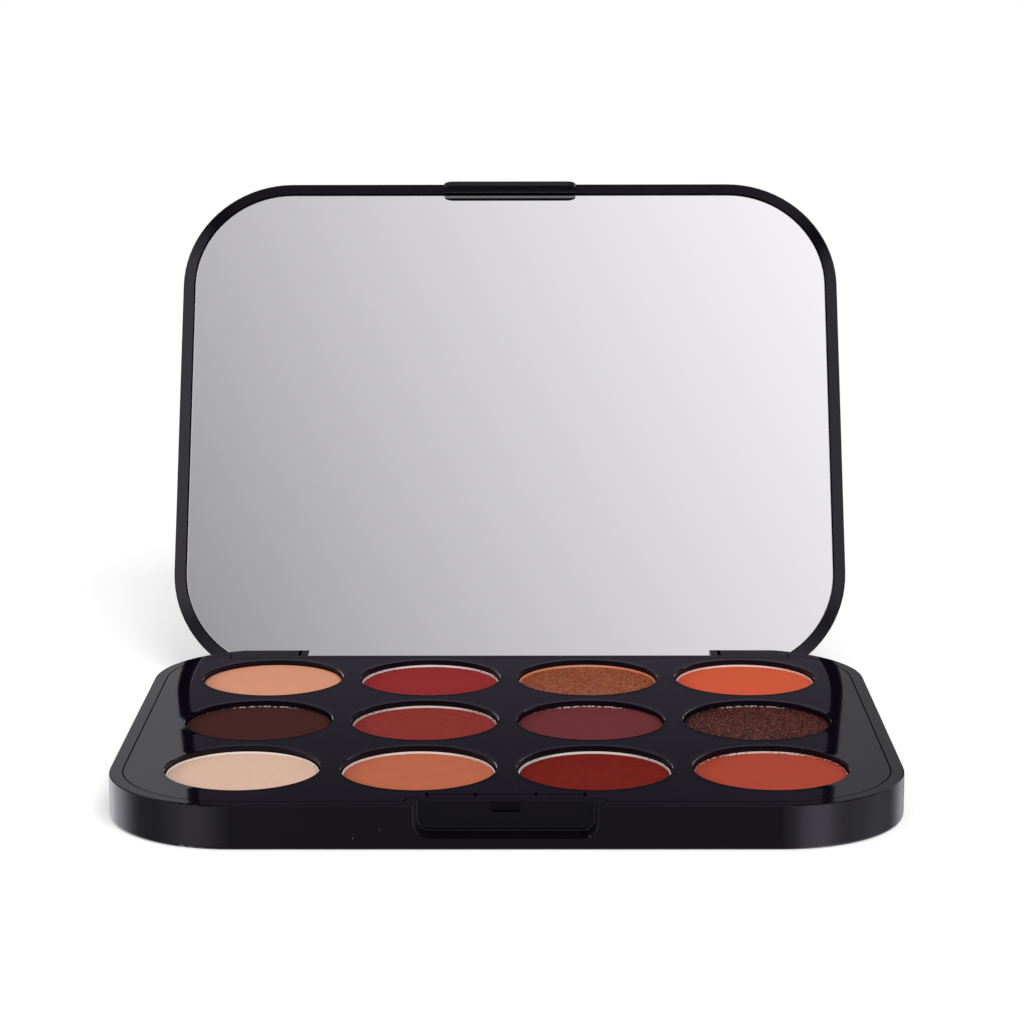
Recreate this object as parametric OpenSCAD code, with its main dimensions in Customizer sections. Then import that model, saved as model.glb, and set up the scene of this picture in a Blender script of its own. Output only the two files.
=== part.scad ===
// Eyeshadow palette: a slim hinged compact with twelve round pans and a mirror in the lid.
// Millimetres. The origin is the centre of the face it rests on, +Z up, +Y towards the hinge.
// The lid stands open, leaning back on its stop.

/* [Pans] */
// Outside diameter of a metal pan
pan_d = 22; // [18:0.1:24]
// Height of a metal pan
pan_h = 3.4; // [3.2:0.1:6]
// Sheet thickness of a pan
pan_t = 0.2; // [0.15:0.05:0.4]
// Radius of a pan's bottom edge
pan_edge_r = 0.7; // [0.5:0.1:1]
// Radius of a pan's rim
pan_rim_r = 0.1; // [0.05:0.01:0.1]
// How far the powder lies below the pan's rim
powder_below_rim = 0.4; // [0.3:0.05:1]
// Radius round the top edge of a pressed powder
powder_edge_r = 0.2; // [0.1:0.05:0.3]
// Thickness of the glue pad under a pan
pad_t = 0.15; // [0.1:0.05:0.3]
// Diameter of the glue pad
pad_d = 14; // [8:0.5:17]

/* [Tray] */
// Gap between a pan and the wall of its well
pan_gap = 0.2; // [0.1:0.05:0.6]
// How far a pan's rim lies below the face of the tray
pan_below_face = 0.75; // [0.3:0.05:1]
// Tray face between two wells in a row
web_x = 2.9; // [2.2:0.1:6]
// Tray face between two rows of wells
web_y = 3.4; // [2.2:0.1:6]
// Thickness of the tray's face
tray_t = 1.2; // [0.8:0.1:1.6]
// Wall thickness of a well
well_wall_t = 1; // [0.7:0.05:1.05]
// Floor thickness of a well
well_floor_t = 1; // [0.7:0.1:1.5]
// Chamfer at the mouth of a well
well_chamfer = 0.1; // [0.05:0.05:0.3]
// Gap between the tray and the rim of the base
seam = 0.2; // [0.1:0.05:0.3]
// Width of the four snap windows near the front edge
window_w = 0.4; // [0.3:0.05:0.8]
// Length of the snap windows, front to back
window_len = 1.7; // [1:0.1:2]
// Depth of the snap windows
window_depth = 0.5; // [0.3:0.05:0.7]
// Distance from the middle to the inner pair of snap windows
window_inner_x = 4.2; // [3:0.1:6]
// Distance from the middle to the outer pair of snap windows
window_outer_x = 11; // [9:0.1:12]
// Width of the fine groove that joins the snap windows
groove_w = 0.3; // [0.1:0.05:0.5]
// Depth of that groove
groove_depth = 0.15; // [0.1:0.05:0.2]

/* [Base] */
// Case wall and margin at each side, from the outside to the first well
side_margin = 7.85; // [7:0.05:14]
// The same at the front
front_margin = 7.4; // [7.1:0.1:14]
// The same at the hinge
rear_margin = 7.8; // [7.6:0.1:14]
// Radius of the four corners, seen from above
corner_r = 18.8; // [14:0.1:20]
// Floor thickness of the base
floor_t = 1.1; // [0.9:0.05:1.5]
// Width of the rim round the tray
rim_w = 1.85; // [1.5:0.05:2.5]
// Width of the ledge that carries the edge of the tray
ledge_w = 1.2; // [0.8:0.1:2]
// Radius of the bottom edge
bottom_edge_r = 0.45; // [0.2:0.05:0.8]
// Radius of the top edges of the rim
rim_edge_r = 0.2; // [0.1:0.05:0.3]

/* [Catch] */
// Width of the thumb recess at the middle of the front wall
recess_w = 24.8; // [24.2:0.1:30]
// Depth of the thumb recess
recess_depth = 2.3; // [2.2:0.05:2.6]
// Height of the wall left under the thumb recess
recess_sill_h = 2.05; // [1.6:0.05:2.3]
// Radius of the recess's bottom corners
recess_corner_r = 1.9; // [1.2:0.1:2.2]
// How much further out the recess's sides and sill are at its mouth
recess_draft = 0.3; // [0.1:0.05:0.4]
// Radius round the foot of the recess's back wall
recess_foot_r = 0.2; // [0.2:0.05:0.6]
// Chamfer round the mouth of the recess
recess_chamfer = 0.15; // [0.1:0.05:0.3]
// Thickness of the wall behind the recess
latch_wall_t = 1.05; // [0.9:0.05:1.5]
// Width of the wall at each side of the recess
latch_wall_side = 1.2; // [1:0.1:1.6]
// Width of the catch nose at its top
nose_w = 4.6; // [3:0.1:8]
// Height of the catch nose
nose_h = 1.65; // [1.2:0.05:2]
// How much narrower each side of the nose is at its foot
nose_taper = 0.45; // [0.2:0.05:0.8]
// How far the nose stands out of the recess's back wall
nose_proud = 0.35; // [0.2:0.05:0.4]
// How much less it stands out at its top, so that the tab slides over it
nose_lead = 0.25; // [0.1:0.01:0.28]
// Height of the slope under the nose
nose_ramp = 0.45; // [0.3:0.05:0.6]
// Bevel along each side of the nose
nose_bevel = 0.25; // [0.1:0.05:0.4]
// Width of the latch tab on the lid
tab_w = 23.1; // [18:0.1:23.2]
// Thickness of the latch tab
tab_t = 0.8; // [0.5:0.05:0.85]
// Length of the latch tab
tab_len = 3.3; // [2.8:0.05:4]
// Length of the thicker root of the tab
tab_root_len = 2; // [1:0.1:2.4]
// How much thicker the tab is where it joins the lid
tab_root_extra = 0.12; // [0.05:0.01:0.15]
// Radius of the tab's corners
tab_corner_r = 1.5; // [0.6:0.1:1.6]
// Gap between the tab and the catch nose
tab_gap = 0.15; // [0.1:0.05:0.2]

/* [Hinge] */
// Angle between the closed and the open lid
open_angle = 116.5; // [100:0.5:118]
// Distance from the case's rear face to the hinge axis
hinge_inset = 1.5; // [1.3:0.05:1.6]
// Distance from the lid's rim face down to the hinge axis
hinge_drop = 3; // [2.8:0.05:3.1]
// Length of the lid's knuckle
knuckle_len = 66.5; // [50:0.5:70]
// Gap at each end of the knuckle
knuckle_gap = 0.15; // [0.1:0.05:0.3]
// Distance from the middle to the outer end of a hinge block
block_end_x = 45.4; // [42:0.1:46]
// Width of the cheek at the inner end of a hinge block
cheek_w = 1.2; // [0.8:0.1:1.6]
// Width of the slot that parts the cheek from its block
cheek_slot_w = 0.5; // [0.3:0.05:0.6]
// Depth of that slot
cheek_slot_depth = 1.2; // [0.8:0.1:1.4]
// Thickness of the block left behind that slot
cheek_slot_hem = 1; // [0.8:0.1:2]
// Radius of the rear top edge
rear_round_r = 1.2; // [1:0.1:2.8]
// Thickness of the wall between the tray and the hinge notch
hinge_wall_t = 1.7; // [0.8:0.1:1.8]
// Gap between the lid's arm and its stop on the base
stop_gap = 0.1; // [0.05:0.05:0.2]
// Diameter of a hinge pin
pin_d = 1.2; // [1:0.05:1.4]
// Length of pin inside the knuckle
pin_grip = 6; // [3:0.5:12]
// How far a pin's end lies below the outside of the base
pin_recess = 0.4; // [0.2:0.05:0.8]
// Radial clearance of a pin in the base
pin_fit_base = 0.02; // [0.01:0.01:0.05]
// Radial clearance of a pin in the knuckle
pin_fit_lid = 0.05; // [0.03:0.01:0.1]

/* [Lid] */
// Gap between the rims when the lid is closed
closed_gap = 0.15; // [0.1:0.05:0.3]
// Width of the lid's rim round the mirror
lid_rim_w = 1.9; // [1.85:0.05:2.5]
// How much further from the base that rim lies at its outer edge
lid_rim_slope = 0.23; // [0.1:0.01:0.3]
// Bevel along the outer edge of the lid's rim
lid_rim_bevel = 0.2; // [0.1:0.05:0.3]
// Thickness of the lid's back
lid_wall_t = 1.5; // [1.2:0.1:1.6]
// Radius of the lid's outer edge
lid_edge_r = 2.6; // [1.5:0.1:2.8]
// Thickness of the mirror glass
mirror_t = 1.3; // [1:0.1:1.6]
// How far the mirror lies below the lid's rim
mirror_set = 0.3; // [0.1:0.05:0.5]
// Gap round the mirror
mirror_gap = 0.15; // [0.1:0.05:0.4]
// Ground edge of the mirror
mirror_chamfer = 0.15; // [0.1:0.05:0.3]
// Thickness of the mirror tape
tape_t = 0.5; // [0.2:0.05:0.6]
// How far the tape stays inside the mirror's edge
tape_margin = 3; // [1:0.5:10]

/* [Hidden] */
$fn = 96;
row_names = ["back", "middle", "front"];
columns = 4;
rows = len(row_names);
sides = ["left", "right"];

overlap = 0.1; // how far a cut runs past the face it opens

// Plan of the case, worked out from the wells that it holds
hole_d = pan_d + 2 * pan_gap;
pitch_x = hole_d + web_x;
pitch_y = hole_d + web_y;
case_w = columns * hole_d + (columns - 1) * web_x + 2 * side_margin;
case_d = rows * hole_d + (rows - 1) * web_y + front_margin + rear_margin;
grid_y = (front_margin - rear_margin) / 2;
front_y = -case_d / 2;
rear_y = case_d / 2;

// Heights, from the floor up
well_floor_z = floor_t + well_floor_t;
pan_z = well_floor_z + pad_t;
base_h = pan_z + pan_h + pan_below_face;
tray_z = base_h - tray_t;
lid_z = base_h + closed_gap;
powder_h = pan_h - pan_t - powder_below_rim;
powder_gap = 0.02; // keeps a powder just clear of its pan's wall

// Edges of the tray at the hinge and behind the catch
well_r = hole_d / 2 + well_wall_t;
tray_hem = 0.2; // tray face left behind the wells at the hinge
tray_rear_y = rear_y - rear_margin + well_wall_t + tray_hem;
hinge_wall_y = tray_rear_y + seam;
block_hem = 0.9; // how far the tray's straight rear edge runs past a hinge block
latch_y = front_y + recess_depth + latch_wall_t;
latch_flare = 0.4; // each end of that wall is this much further out at the rim
window_y = latch_y + 1.9; // the snap windows stand in a row behind it

// Hinge
hinge_y = rear_y - hinge_inset;
hinge_z = lid_z - hinge_drop;
knuckle_r = hinge_inset;
notch_half = knuckle_len / 2 + knuckle_gap;
notch_y = hinge_wall_y + hinge_wall_t;
corner_x = case_w / 2 - corner_r;
corner_y = case_d / 2 - corner_r;
pin_end_x = corner_x + sqrt(corner_r ^ 2 - (hinge_y - corner_y) ^ 2) - pin_recess;
pin_start_x = knuckle_len / 2 - pin_grip;
bore_extra = 0.5; // a blind bore runs this much deeper than its pin

// Lid
lid_recess_h = mirror_set + mirror_t + tape_t;
lid_t = lid_recess_h + lid_wall_t;
tab_y = front_y + recess_depth - nose_proud - tab_gap - tab_root_extra - tab_t;

// Colours
case_black = [0.06, 0.06, 0.07];
tray_black = [0.09, 0.09, 0.10];
pan_tin = [0.78, 0.76, 0.74];
glue_white = [0.85, 0.84, 0.80];
pin_steel = [0.62, 0.63, 0.65];
mirror_silver = [0.80, 0.81, 0.83];
powder_colours = [
    [[0.82, 0.56, 0.45], [0.54, 0.18, 0.18], [0.53, 0.29, 0.22], [0.78, 0.34, 0.23]],
    [[0.27, 0.15, 0.14], [0.52, 0.20, 0.19], [0.41, 0.18, 0.19], [0.31, 0.17, 0.16]],
    [[0.84, 0.71, 0.63], [0.71, 0.39, 0.29], [0.44, 0.14, 0.12], [0.64, 0.27, 0.21]]
];

// ---- Shapes ----

// The case's outline, moved inwards
module plan(inset) {
    w = case_w - 2 * inset;
    d = case_d - 2 * inset;
    r = corner_r - inset;
    square([w, d - 2 * r], center = true);
    square([w - 2 * r, d], center = true);
    for (x = [-1, 1], y = [-1, 1])
        translate([x * (w / 2 - r), y * (d / 2 - r)]) circle(r);
}

// One end of a slab's section: flat to the left, rounded bottom and top edges at reach
module edge_section(reach, h, r_bottom, r_top) {
    square([reach - r_bottom, h - r_top]);
    translate([0, r_bottom]) square([reach - r_top, h - r_bottom]);
    translate([0, r_bottom]) square([reach, h - r_bottom - r_top]);
    translate([reach - r_bottom, r_bottom]) intersection() {
        circle(r_bottom);
        translate([0, -r_bottom]) square(r_bottom);
    }
    translate([reach - r_top, h - r_top]) intersection() {
        circle(r_top);
        square(r_top);
    }
}

// Carries a section round the case's outline, moved inwards. $reach is how far it reaches out.
module around(inset) {
    for (turn = [0, 180]) rotate(turn) {
        rotate([90, 0, 0]) translate([0, 0, -corner_y]) linear_extrude(2 * corner_y)
            let ($reach = case_w / 2 - inset) children();
        rotate([90, 0, 90]) translate([0, 0, -corner_x]) linear_extrude(2 * corner_x)
            let ($reach = case_d / 2 - inset) children();
        for (side = [0, 1]) mirror([side, 0, 0]) translate([corner_x, corner_y, 0])
            rotate_extrude(angle = 90) let ($reach = corner_r - inset) children();
    }
}

// A slab with the case's outline, moved inwards, with true rounded edges
module slab(inset, h, r_bottom, r_top) {
    around(inset) edge_section($reach, h, r_bottom, r_top);
}

// A cylinder along X from x0 to x1, on the hinge axis
module hinge_rod(x0, x1, r) {
    translate([x0, hinge_y, hinge_z]) rotate([0, 90, 0]) cylinder(h = x1 - x0, r = r, $fn = 48);
}

// Outline of the tray. A positive grow gives the pocket that the tray drops into.
module tray_plan(grow) {
    difference() {
        plan(rim_w + seam - grow);
        translate([-block_end_x - block_hem + grow, tray_rear_y + grow])
            square([2 * (block_end_x + block_hem - grow), rear_margin]);
        latch_wall_plan(seam - grow);
    }
}

// The wall behind the thumb recess, seen from above, with its flared ends
module latch_wall_plan(grow) {
    half = recess_w / 2 + latch_wall_side + grow;
    polygon([
        [-half - latch_flare, front_y], [half + latch_flare, front_y],
        [half + latch_flare, front_y + rim_w + grow], [half, latch_y + grow],
        [-half, latch_y + grow], [-half - latch_flare, front_y + rim_w + grow]
    ]);
}

// A rectangle standing on its lower side, with the two lower corners rounded
module recess_face(w, h, r) {
    translate([-w / 2, r]) square([w, h - r]);
    translate([-w / 2 + r, 0]) square([w - 2 * r, h]);
    for (side = [-1, 1]) translate([side * (w / 2 - r), r]) circle(r);
}

// Places its children at the middle of one well
module at_well(row, column) {
    translate([
        (column - (columns - 1) / 2) * pitch_x,
        grid_y + ((rows - 1) / 2 - row) * pitch_y,
        0
    ]) children();
}

// Turns parts of the closed lid back to the open position
module opened() {
    translate([0, hinge_y, hinge_z]) rotate([-open_angle, 0, 0])
        translate([0, -hinge_y, -hinge_z]) children();
}

// ---- Base ----

// Section of the recess, from the axis of a lower corner outwards, and from the mouth inwards
module recess_section() {
    foot = recess_foot_r;
    mouth_r = recess_corner_r + recess_draft;
    polygon([
        [0, -overlap], [mouth_r + recess_chamfer + overlap, -overlap],
        [mouth_r, recess_chamfer], [recess_corner_r, recess_depth - foot],
        [recess_corner_r - foot, recess_depth - foot], [recess_corner_r - foot, recess_depth],
        [0, recess_depth]
    ]);
    translate([recess_corner_r - foot, recess_depth - foot]) intersection() {
        circle(foot);
        square(foot);
    }
}

// Room for the latch tab: drafted sides and sill, and a rounded foot round the back wall
module thumb_recess() {
    straight = recess_w / 2 - recess_corner_r;
    translate([0, front_y, recess_sill_h + recess_corner_r]) {
        translate([-straight, 0, 0]) rotate([0, 90, 0]) linear_extrude(2 * straight)
            recess_section();
        translate([-straight, -overlap, 0]) cube([2 * straight, recess_depth + overlap, base_h]);
        for (side = [0, 1]) mirror([side, 0, 0]) translate([straight, 0, 0]) {
            linear_extrude(base_h) recess_section();
            rotate([-90, 0, 0]) rotate_extrude(angle = 90) recess_section();
        }
    }
}

// Catch nose: a leaning front, a slope underneath, and sides that draw in
module catch_nose() {
    half = nose_w / 2;
    foot_y = -nose_proud;
    translate([0, front_y + recess_depth, base_h]) intersection() {
        translate([-half, 0, 0]) rotate([90, 0, 90]) linear_extrude(nose_w)
            polygon([
                [overlap, 0], [foot_y + nose_lead, 0], [foot_y, nose_ramp - nose_h],
                [0, -nose_h], [overlap, -nose_h]
            ]);
        translate([0, overlap, 0]) rotate([90, 0, 0]) linear_extrude(nose_proud + 2 * overlap)
            polygon([
                [-half, overlap], [half, overlap],
                [half - nose_taper, -nose_h - overlap], [nose_taper - half, -nose_h - overlap]
            ]);
        translate([0, 0, -nose_h - overlap]) linear_extrude(nose_h + 2 * overlap)
            polygon([
                [-half, overlap], [-half, 0], [nose_bevel - half, foot_y - overlap],
                [half - nose_bevel, foot_y - overlap], [half, 0], [half, overlap]
            ]);
    }
}

// Rounds the rear top edge from corner to corner, so that it fades out in the two corners
module rear_rounding() {
    difference() {
        translate([-case_w / 2, rear_y - rear_round_r, base_h - rear_round_r])
            cube([case_w, rear_round_r + overlap, rear_round_r + overlap]);
        translate([-case_w / 2 - overlap, rear_y - rear_round_r, base_h - rear_round_r])
            rotate([0, 90, 0]) cylinder(h = case_w + 2 * overlap, r = rear_round_r);
    }
}

// Slot in the top of a hinge block, beside its cheek
module cheek_slot() {
    translate([notch_half + cheek_w, notch_y, base_h - cheek_slot_depth])
        cube([cheek_slot_w, rear_y - cheek_slot_hem - notch_y, cheek_slot_depth + overlap]);
}

// The way of the lid's knuckle, down to the floor and out at the rear.
// It ends in the slanted stop that the arm of the open lid meets.
module hinge_notch() {
    translate([-notch_half, 0, 0]) rotate([90, 0, 90]) linear_extrude(2 * notch_half) {
        translate([notch_y, floor_t]) square([rear_margin, base_h]);
        translate([hinge_y, hinge_z]) rotate(-open_angle) translate([-hinge_inset, 0])
            square([2 * hinge_inset + stop_gap, lid_t]);
    }
}

module base_shell() {
    color(case_black) difference() {
        union() {
            difference() {
                slab(0, base_h, bottom_edge_r, rim_edge_r);
                translate([0, 0, tray_z]) linear_extrude(tray_t + overlap) tray_plan(seam);
                translate([0, 0, floor_t]) linear_extrude(base_h) intersection() {
                    plan(rim_w + ledge_w);
                    tray_plan(seam);
                }
                thumb_recess();
            }
            catch_nose();
        }
        rear_rounding();
        hinge_notch();
        for (side = [0, 1]) mirror([side, 0, 0]) {
            cheek_slot();
            hinge_rod(notch_half - overlap, case_w / 2, pin_d / 2 + pin_fit_base);
        }
    }
}

// ---- Tray and what it holds ----

module well_mouth(r) {
    translate([0, 0, base_h - well_chamfer])
        cylinder(h = well_chamfer + overlap, r1 = r, r2 = r + well_chamfer + overlap);
}

module pan_tray() {
    color(tray_black) difference() {
        union() {
            translate([0, 0, tray_z]) linear_extrude(tray_t) tray_plan(0);
            for (row = [0 : rows - 1], column = [0 : columns - 1]) at_well(row, column)
                translate([0, 0, floor_t]) cylinder(h = base_h - floor_t, r = well_r);
        }
        for (row = [0 : rows - 1], column = [0 : columns - 1]) at_well(row, column) {
            translate([0, 0, well_floor_z]) cylinder(h = base_h, d = hole_d);
            well_mouth(hole_d / 2);
        }
        for (side = [-1, 1], x = [window_inner_x, window_outer_x])
            translate([side * x - window_w / 2, window_y - window_len / 2, base_h - window_depth])
                cube([window_w, window_len, window_depth + overlap]);
        translate([-window_outer_x, window_y - groove_w / 2, base_h - groove_depth])
            cube([2 * window_outer_x, groove_w, groove_depth + overlap]);
    }
}

module glue_pad() {
    color(glue_white) translate([0, 0, well_floor_z]) cylinder(h = pad_t, d = pad_d);
}

// A drawn sheet-metal cup with a rounded bottom edge, as thick there as in its wall
module pan() {
    color(pan_tin) translate([0, 0, pan_z]) difference() {
        rotate_extrude() edge_section(pan_d / 2, pan_h, pan_edge_r, pan_rim_r);
        translate([0, 0, pan_t]) rotate_extrude()
            edge_section(pan_d / 2 - pan_t, pan_h, pan_edge_r - pan_t, pan_rim_r);
    }
}

module powder(row, column) {
    reach = pan_d / 2 - pan_t - powder_gap;
    color(powder_colours[row][column]) translate([0, 0, pan_z + pan_t]) rotate_extrude()
        edge_section(reach, powder_h, pan_edge_r - pan_t, powder_edge_r);
}

// ---- Hinge pins ----

module hinge_pin(side) {
    color(pin_steel) mirror([side == "left" ? 1 : 0, 0, 0])
        hinge_rod(pin_start_x, pin_end_x, pin_d / 2);
}

// ---- Lid, drawn closed and then opened ----

// Barrel on the hinge axis, and the arm that joins it to the lid's rim
module knuckle() {
    root = hinge_drop + lid_rim_slope + overlap;
    hinge_rod(-knuckle_len / 2, knuckle_len / 2, knuckle_r);
    translate([-knuckle_len / 2, hinge_y, hinge_z]) rotate([90, 0, 90])
        linear_extrude(knuckle_len)
            polygon([
                [-knuckle_r, 0], [hinge_inset, 0],
                [hinge_inset, root], [hinge_inset - lid_rim_w, root],
                [hinge_inset - lid_rim_w, hinge_drop]
            ]);
}

// Tab that hangs into the recess, thicker at its root
module latch_tab() {
    tip = lid_z - tab_len;
    root = lid_z + lid_rim_slope + overlap;
    intersection() {
        translate([0, tab_y + tab_t + tab_root_extra, tip]) rotate([90, 0, 0])
            linear_extrude(tab_t + tab_root_extra + overlap)
                recess_face(tab_w, root - tip, tab_corner_r);
        translate([-tab_w / 2, 0, 0]) rotate([90, 0, 90]) linear_extrude(tab_w)
            polygon([
                [tab_y, tip], [tab_y + tab_t, tip], [tab_y + tab_t, lid_z - tab_root_len],
                [tab_y + tab_t + tab_root_extra, lid_z], [tab_y + tab_t, root], [tab_y, root]
            ]);
    }
}

// Section of the lid at reach: sloping rim with its bevel below, rounded edge on top
module lid_section(reach) {
    bevel_x = reach - lid_rim_bevel;
    bevel_z = lid_rim_slope * (1 - lid_rim_bevel / lid_rim_w);
    polygon([
        [0, 0], [reach - lid_rim_w, 0], [bevel_x, bevel_z], [reach, bevel_z + lid_rim_bevel],
        [reach, lid_t - lid_edge_r], [reach - lid_edge_r, lid_t - lid_edge_r],
        [reach - lid_edge_r, lid_t], [0, lid_t]
    ]);
    translate([reach - lid_edge_r, lid_t - lid_edge_r]) intersection() {
        circle(lid_edge_r);
        square(lid_edge_r);
    }
}

module lid_shell() {
    color(case_black) opened() difference() {
        union() {
            difference() {
                translate([0, 0, lid_z]) around(0) lid_section($reach);
                translate([0, 0, lid_z - overlap])
                    linear_extrude(lid_recess_h + overlap) plan(lid_rim_w);
            }
            knuckle();
            latch_tab();
        }
        for (side = [0, 1]) mirror([side, 0, 0])
            hinge_rod(pin_start_x - bore_extra, case_w / 2, pin_d / 2 + pin_fit_lid);
    }
}

module mirror_tape() {
    color(glue_white) opened() translate([0, 0, lid_z + mirror_set + mirror_t])
        linear_extrude(tape_t) plan(lid_rim_w + mirror_gap + tape_margin);
}

module mirror_glass() {
    color(mirror_silver) opened() translate([0, 0, lid_z + mirror_set])
        slab(lid_rim_w + mirror_gap, mirror_t, mirror_chamfer, mirror_chamfer);
}

// ---- Nodes ----

base_shell();
pan_tray();
for (row = [0 : rows - 1], column = [0 : columns - 1]) {
    place = str(row_names[row], "_", column + 1);
    at_well(row, column) glue_pad();
    at_well(row, column) pan();
    at_well(row, column) powder(row, column);
}
for (side = sides)
    hinge_pin(side);
lid_shell();
mirror_tape();
mirror_glass();
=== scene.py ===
"""Eyeshadow palette: finishes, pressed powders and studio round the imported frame.

Everything is in metres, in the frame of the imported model: the origin is the middle of the face that
the case rests on, +Z is up and +Y points towards the hinge. The lid stands open.
"""

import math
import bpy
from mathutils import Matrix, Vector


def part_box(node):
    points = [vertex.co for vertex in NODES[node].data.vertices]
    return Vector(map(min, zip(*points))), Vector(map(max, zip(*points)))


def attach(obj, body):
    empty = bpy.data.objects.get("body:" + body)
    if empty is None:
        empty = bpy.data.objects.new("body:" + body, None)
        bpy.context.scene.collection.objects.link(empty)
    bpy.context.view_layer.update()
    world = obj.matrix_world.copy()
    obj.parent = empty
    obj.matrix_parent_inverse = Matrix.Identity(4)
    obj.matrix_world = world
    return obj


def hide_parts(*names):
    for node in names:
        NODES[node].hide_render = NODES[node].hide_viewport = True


bl_info = {
    "name": "Eyeshadow Palette",
    "version": (1, 0, 0),
    "blender": (4, 5, 0),
    "location": "3D View > Sidebar > Palette",
    "description": "Finishes and studio for a twelve-pan eyeshadow palette with a mirror lid",
    "category": "Object",
}

import bpy
import numpy as np
from bpy.props import FloatProperty, FloatVectorProperty, PointerProperty
from bpy.types import Operator, Panel, PropertyGroup
from mathutils import Matrix, Vector, noise

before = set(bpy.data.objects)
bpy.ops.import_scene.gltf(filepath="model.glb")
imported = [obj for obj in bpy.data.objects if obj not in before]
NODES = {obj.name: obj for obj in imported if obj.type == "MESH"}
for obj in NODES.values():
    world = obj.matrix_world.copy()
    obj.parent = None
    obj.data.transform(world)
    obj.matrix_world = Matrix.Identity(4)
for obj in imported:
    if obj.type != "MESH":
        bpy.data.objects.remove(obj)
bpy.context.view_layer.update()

MM = 0.001
WELL_GAP = 0.2 * MM  # between a pan and its well
CASE_INDEX = 1.41  # refractive index of the case's plastic
TRAY_INDEX = 1.47  # refractive index of the tray's plastic
HAIR_DEPTH = 0.001 * MM  # of the hairline scratches
BARE_METAL = 0.02  # how metallic the dull tin of a pan is where no powder clings


# ---- Colours and settings ----


def rgb(red, green, blue):
    """A colour given in display values from 0 to 255, as linear light."""
    return tuple(
        c / 12.92 if c <= 0.04045 else ((c + 0.055) / 1.055) ** 2.4
        for c in (red / 255, green / 255, blue / 255)
    )


def colour(name, description, red, green, blue):
    """A colour property with its default in display values from 0 to 255."""
    return FloatVectorProperty(
        name=name,
        description=description,
        subtype="COLOR",
        size=3,
        min=0,
        max=1,
        default=rgb(red, green, blue),
    )


def length(name, description, millimetres):
    """A length property with its default in millimetres."""
    return FloatProperty(
        name=name,
        description=description,
        unit="LENGTH",
        subtype="DISTANCE",
        precision=5,
        min=0,
        default=millimetres * MM,
    )


def share(name, description, value):
    """A property that runs from 0 to 1."""
    return FloatProperty(
        name=name, description=description, subtype="FACTOR", min=0, max=1, default=value
    )


class CaseFinish(PropertyGroup):
    """The plastic of case and tray, the tape, the glue and the pins' steel"""

    case: colour("Case", "Moulded plastic of base and lid", 9, 7, 12)
    tray: colour("Tray", "Moulded plastic of the pan tray", 10, 6, 16)
    dust: colour("Dust", "Fine specks lying on the gloss", 150, 146, 146)
    sheen: colour("Sheen", "Tint of what the case reflects", 250, 246, 255)
    tray_sheen: colour("Tray sheen", "Tint of what the tray reflects", 240, 233, 255)
    gloss: share("Roughness", "Roughness of the polished plastic", 0.04)
    ripple: length("Ripple", "Height of the moulding's faint waves", 0.0006)
    lip: length("Lip", "How far the tray rises towards the mouth of a well", 0.018)
    warp: length("Warp", "Height of the tray's slow unevenness", 0.012)
    lip_reach: length("Lip reach", "How far out that rise starts", 1.3)
    tape: colour("Tape", "Foam tape behind the mirror", 226, 224, 218)
    glue: colour("Glue", "Adhesive pad under a pan", 214, 209, 196)
    steel: colour("Steel", "Drawn wire of the hinge pins", 186, 187, 190)


class MirrorFinish(PropertyGroup):
    """The mirror's silvered face and ground edge"""

    silver: colour("Silver", "Reflecting layer of the mirror", 248, 247, 243)
    edge: colour("Edge", "Ground edge of the glass", 176, 190, 186)
    roughness: share("Roughness", "Roughness of the silvered face", 0.0)


class PanFinish(PropertyGroup):
    """The tinned sheet of the pans"""

    metal: colour("Metal", "Tinned sheet of the pans", 254, 248, 244)
    roughness: share("Roughness", "Roughness of the drawn sheet", 0.42)
    draw_lines: length("Draw lines", "Depth of the fine lines left by drawing the cup", 0.002)


class PowderFinish(PropertyGroup):
    """The colour of each powder, and how all of them are pressed"""

    peach: colour("Peach", "Back row, first pan", 214, 148, 118)
    deep_red: colour("Deep red", "Back row, second pan", 142, 44, 46)
    copper: colour("Copper", "Back row, third pan", 132, 51, 22)
    copper_pearl: colour("Copper pearl", "Flakes in the copper powder", 232, 149, 108)
    burnt_orange: colour("Burnt orange", "Back row, fourth pan", 205, 88, 59)
    plum_brown: colour("Plum brown", "Middle row, first pan", 68, 35, 33)
    garnet: colour("Garnet", "Middle row, second pan", 140, 50, 46)
    maroon: colour("Maroon", "Middle row, third pan", 106, 47, 49)
    dark_brown: colour("Dark brown", "Middle row, fourth pan", 55, 20, 18)
    champagne: colour("Champagne", "Front row, first pan", 219, 181, 160)
    terracotta: colour("Terracotta", "Front row, second pan", 181, 99, 71)
    oxblood: colour("Oxblood", "Front row, third pan", 116, 26, 20)
    brick: colour("Brick", "Front row, fourth pan", 165, 68, 52)
    grain: length("Grain", "Height of the pressed powder's grain", 0.018)
    wave: length("Unevenness", "Height of the slow waves of a pressed face", 0.03)
    crumble: length("Crumble", "How far the powder's edge has crumbled", 0.12)


class StudioSettings(PropertyGroup):
    """The floor, the light and the camera"""

    floor_radius: length("Floor radius", "Reach of the pale floor", 9000)
    floor: colour("Floor", "Pale paper under the palette", 243, 243, 244)
    sky: share("Sky", "Level of the even light from all round", 0.66)
    key: FloatProperty(
        name="Key light",
        description="Power of the large lamp above the front",
        subtype="POWER",
        min=0,
        default=5.0,
    )
    fill: FloatProperty(
        name="Fill light",
        description="Power of the lamp at the left",
        subtype="POWER",
        min=0,
        default=0.9,
    )
    lens: FloatProperty(
        name="Lens",
        description="Focal length for a frame 36 mm wide",
        subtype="DISTANCE_CAMERA",
        min=10,
        default=101.83,
    )
    pitch: FloatProperty(
        name="Pitch",
        description="How far the camera looks down",
        subtype="ANGLE",
        default=math.radians(11.256),
    )


# ---- Shader nodes ----


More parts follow.
